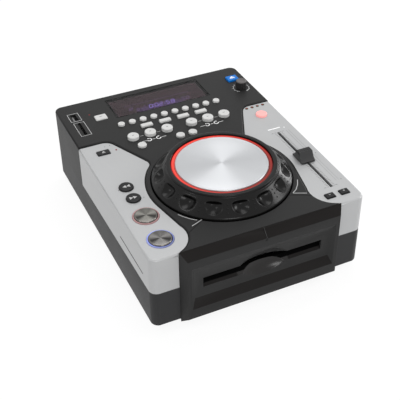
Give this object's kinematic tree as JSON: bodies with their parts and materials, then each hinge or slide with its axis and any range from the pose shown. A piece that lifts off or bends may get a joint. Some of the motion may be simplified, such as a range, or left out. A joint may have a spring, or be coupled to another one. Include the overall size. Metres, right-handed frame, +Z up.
{
  "type": "tabletop dj cd player",
  "caption": "Slot-loading tabletop player for disc jockeys, with a jog wheel, pitch fader, display window and keys on its sloped-edge top panel.",
  "frame": {"origin": "on the surface that the feet stand on, under the centre of the player's bounding box", "axes": "+X to the right, -Y to the front with the disc slot, +Z up"},
  "size_m": [0.22, 0.296, 0.1062],
  "materials": {
    "case_grey": "satin",
    "panel_dark": "satin",
    "wing_silver": "satin",
    "block_dark": "satin",
    "window_tint": "gloss",
    "display": "matte",
    "board": "satin",
    "socket_metal": "polished",
    "socket_steel": "satin",
    "inlet_black": "matte",
    "feet_rubber": "matte",
    "screw_steel": "satin",
    "jog_dark": "satin",
    "jog_aluminium": "spun",
    "jog_red": "lit from below",
    "knob_grey": "satin",
    "cap_black": "satin",
    "drive_steel": "satin",
    "drive_black": "matte",
    "gear_white": "satin",
    "roller_rubber": "matte",
    "key_light": "satin",
    "key_blue": "satin",
    "key_dark": "satin",
    "key_lit": "lit from below",
    "button_metal": "spun"
  },
  "bodies": {
    "case": {"base_shell": "case_grey", "top_panel": "panel_dark", "left_wing": "wing_silver", "right_wing": "wing_silver", "slot_bezel": "block_dark", "display_window": "window_tint", "display_module": "display", "control_boards": "board", "main_board": "board", "power_supply": "board", "rear_sockets": "socket_metal", "mains_inlet": "inlet_black", "media_sockets": "socket_steel", "feet": "feet_rubber", "case_screws": "screw_steel", "jog_spindle": "screw_steel", "drive_chassis": "drive_steel"},
    "jog": {"jog_wheel": "jog_dark", "jog_plate": "jog_aluminium", "jog_ring": "jog_red"},
    "knob": {"browse_knob": "knob_grey"},
    "fader": {"fader_cap": "cap_black"},
    "rocker": {"power_rocker": "inlet_black"},
    "turntable": {"turntable": "drive_black"},
    "sled": {"pickup_sled": "drive_black"},
    "gear": {"sled_gear": "gear_white"},
    "roller": {"feed_roller": "roller_rubber"},
    "source_key": {"source_key": "key_light"},
    "open_key": {"open_key": "key_blue"},
    "wing_key": {"wing_key": "key_dark"},
    "lit_key": {"lit_key": "key_lit"},
    "search_key_1": {"search_key_1": "key_dark"},
    "search_key_2": {"search_key_2": "key_dark"},
    "bend_key_1": {"bend_key_1": "key_dark"},
    "bend_key_2": {"bend_key_2": "key_dark"},
    "small_key_1": {"small_key_1": "key_light"},
    "small_key_2": {"small_key_2": "key_light"},
    "small_key_3": {"small_key_3": "key_light"},
    "small_key_4": {"small_key_4": "key_light"},
    "small_key_5": {"small_key_5": "key_light"},
    "small_key_6": {"small_key_6": "key_light"},
    "small_key_7": {"small_key_7": "key_light"},
    "small_key_8": {"small_key_8": "key_light"},
    "small_key_9": {"small_key_9": "key_light"},
    "small_key_10": {"small_key_10": "key_light"},
    "bar_key_1": {"bar_key_1": "key_light"},
    "bar_key_2": {"bar_key_2": "key_light"},
    "bar_key_3": {"bar_key_3": "key_light"},
    "bar_key_4": {"bar_key_4": "key_light"},
    "large_key_1": {"large_key_1": "key_light"},
    "large_key_2": {"large_key_2": "key_light"},
    "large_key_3": {"large_key_3": "key_light"},
    "large_key_4": {"large_key_4": "key_light"},
    "large_key_5": {"large_key_5": "key_light"},
    "large_key_6": {"large_key_6": "key_light"},
    "medium_key_1": {"medium_key_1": "key_light"},
    "medium_key_2": {"medium_key_2": "key_light"},
    "medium_key_3": {"medium_key_3": "key_light"},
    "cue_button": {"cue_button": "button_metal"},
    "play_button": {"play_button": "button_metal"}
  },
  "joints": [
    {"name": "jog_spin", "type": "hinge", "parent": "case", "child": "jog", "pos_m": [0, -0.055, 0.088], "axis": [0, 0, 1], "continuous": true},
    {"name": "knob_turn", "type": "hinge", "parent": "case", "child": "knob", "pos_m": [0.0954, 0.0908, 0.088], "axis": [0, 0, 1], "continuous": true},
    {"name": "pitch_fader", "type": "slide", "parent": "case", "child": "fader", "axis": [0, 1, 0], "range_m": [-0.05, 0.05]},
    {"name": "power_rock", "type": "hinge", "parent": "case", "child": "rocker", "pos_m": [-0.05, 0.14, 0.026], "axis": [1, 0, 0], "range_deg": [0, 14]},
    {"name": "turntable_spin", "type": "hinge", "parent": "case", "child": "turntable", "pos_m": [0, -0.072, 0.045], "axis": [0, 0, 1], "continuous": true},
    {"name": "sled_slide", "type": "slide", "parent": "case", "child": "sled", "axis": [0, 1, 0], "range_m": [0, 0.033]},
    {"name": "gear_turn", "type": "hinge", "parent": "case", "child": "gear", "pos_m": [0.03611, -0.029, 0.0366], "axis": [0, 0, 1], "range_deg": [-310, 1]},
    {"name": "roller_spin", "type": "hinge", "parent": "case", "child": "roller", "pos_m": [0, -0.125, 0.044], "axis": [1, 0, 0], "continuous": true},
    {"name": "source_key_press", "type": "slide", "parent": "case", "child": "source_key", "axis": [0, 0, -1], "range_m": [0, 0.001], "stiffness_N_per_m": 250},
    {"name": "open_key_press", "type": "slide", "parent": "case", "child": "open_key", "axis": [0, 0, -1], "range_m": [0, 0.001], "stiffness_N_per_m": 250},
    {"name": "wing_key_press", "type": "slide", "parent": "case", "child": "wing_key", "axis": [0, 0, -1], "range_m": [0, 0.001], "stiffness_N_per_m": 250},
    {"name": "lit_key_press", "type": "slide", "parent": "case", "child": "lit_key", "axis": [0, 0, -1], "range_m": [0, 0.001], "stiffness_N_per_m": 250},
    {"name": "search_key_1_press", "type": "slide", "parent": "case", "child": "search_key_1", "axis": [0, 0, -1], "range_m": [0, 0.001], "stiffness_N_per_m": 250},
    {"name": "search_key_2_press", "type": "slide", "parent": "case", "child": "search_key_2", "axis": [0, 0, -1], "range_m": [0, 0.001], "stiffness_N_per_m": 250},
    {"name": "bend_key_1_press", "type": "slide", "parent": "case", "child": "bend_key_1", "axis": [0, 0, -1], "range_m": [0, 0.001], "stiffness_N_per_m": 250},
    {"name": "bend_key_2_press", "type": "slide", "parent": "case", "child": "bend_key_2", "axis": [0, 0, -1], "range_m": [0, 0.001], "stiffness_N_per_m": 250},
    {"name": "small_key_1_press", "type": "slide", "parent": "case", "child": "small_key_1", "axis": [0, 0, -1], "range_m": [0, 0.001], "stiffness_N_per_m": 250},
    {"name": "small_key_2_press", "type": "slide", "parent": "case", "child": "small_key_2", "axis": [0, 0, -1], "range_m": [0, 0.001], "stiffness_N_per_m": 250},
    {"name": "small_key_3_press", "type": "slide", "parent": "case", "child": "small_key_3", "axis": [0, 0, -1], "range_m": [0, 0.001], "stiffness_N_per_m": 250},
    {"name": "small_key_4_press", "type": "slide", "parent": "case", "child": "small_key_4", "axis": [0, 0, -1], "range_m": [0, 0.001], "stiffness_N_per_m": 250},
    {"name": "small_key_5_press", "type": "slide", "parent": "case", "child": "small_key_5", "axis": [0, 0, -1], "range_m": [0, 0.001], "stiffness_N_per_m": 250},
    {"name": "small_key_6_press", "type": "slide", "parent": "case", "child": "small_key_6", "axis": [0, 0, -1], "range_m": [0, 0.001], "stiffness_N_per_m": 250},
    {"name": "small_key_7_press", "type": "slide", "parent": "case", "child": "small_key_7", "axis": [0, 0, -1], "range_m": [0, 0.001], "stiffness_N_per_m": 250},
    {"name": "small_key_8_press", "type": "slide", "parent": "case", "child": "small_key_8", "axis": [0, 0, -1], "range_m": [0, 0.001], "stiffness_N_per_m": 250},
    {"name": "small_key_9_press", "type": "slide", "parent": "case", "child": "small_key_9", "axis": [0, 0, -1], "range_m": [0, 0.001], "stiffness_N_per_m": 250},
    {"name": "small_key_10_press", "type": "slide", "parent": "case", "child": "small_key_10", "axis": [0, 0, -1], "range_m": [0, 0.001], "stiffness_N_per_m": 250},
    {"name": "bar_key_1_press", "type": "slide", "parent": "case", "child": "bar_key_1", "axis": [0, 0, -1], "range_m": [0, 0.001], "stiffness_N_per_m": 250},
    {"name": "bar_key_2_press", "type": "slide", "parent": "case", "child": "bar_key_2", "axis": [0, 0, -1], "range_m": [0, 0.001], "stiffness_N_per_m": 250},
    {"name": "bar_key_3_press", "type": "slide", "parent": "case", "child": "bar_key_3", "axis": [0, 0, -1], "range_m": [0, 0.001], "stiffness_N_per_m": 250},
    {"name": "bar_key_4_press", "type": "slide", "parent": "case", "child": "bar_key_4", "axis": [0, 0, -1], "range_m": [0, 0.001], "stiffness_N_per_m": 250},
    {"name": "large_key_1_press", "type": "slide", "parent": "case", "child": "large_key_1", "axis": [0, 0, -1], "range_m": [0, 0.001], "stiffness_N_per_m": 250},
    {"name": "large_key_2_press", "type": "slide", "parent": "case", "child": "large_key_2", "axis": [0, 0, -1], "range_m": [0, 0.001], "stiffness_N_per_m": 250},
    {"name": "large_key_3_press", "type": "slide", "parent": "case", "child": "large_key_3", "axis": [0, 0, -1], "range_m": [0, 0.001], "stiffness_N_per_m": 250},
    {"name": "large_key_4_press", "type": "slide", "parent": "case", "child": "large_key_4", "axis": [0, 0, -1], "range_m": [0, 0.001], "stiffness_N_per_m": 250},
    {"name": "large_key_5_press", "type": "slide", "parent": "case", "child": "large_key_5", "axis": [0, 0, -1], "range_m": [0, 0.001], "stiffness_N_per_m": 250},
    {"name": "large_key_6_press", "type": "slide", "parent": "case", "child": "large_key_6", "axis": [0, 0, -1], "range_m": [0, 0.001], "stiffness_N_per_m": 250},
    {"name": "medium_key_1_press", "type": "slide", "parent": "case", "child": "medium_key_1", "axis": [0, 0, -1], "range_m": [0, 0.001], "stiffness_N_per_m": 250},
    {"name": "medium_key_2_press", "type": "slide", "parent": "case", "child": "medium_key_2", "axis": [0, 0, -1], "range_m": [0, 0.001], "stiffness_N_per_m": 250},
    {"name": "medium_key_3_press", "type": "slide", "parent": "case", "child": "medium_key_3", "axis": [0, 0, -1], "range_m": [0, 0.001], "stiffness_N_per_m": 250},
    {"name": "cue_button_press", "type": "slide", "parent": "case", "child": "cue_button", "axis": [0, 0, -1], "range_m": [0, 0.001], "stiffness_N_per_m": 400},
    {"name": "play_button_press", "type": "slide", "parent": "case", "child": "play_button", "axis": [0, 0, -1], "range_m": [0, 0.001], "stiffness_N_per_m": 400}
  ],
  "couplings": [
    {"joint": "gear_turn", "follows": "sled_slide", "rad_per_m": -163.62}
  ]
}
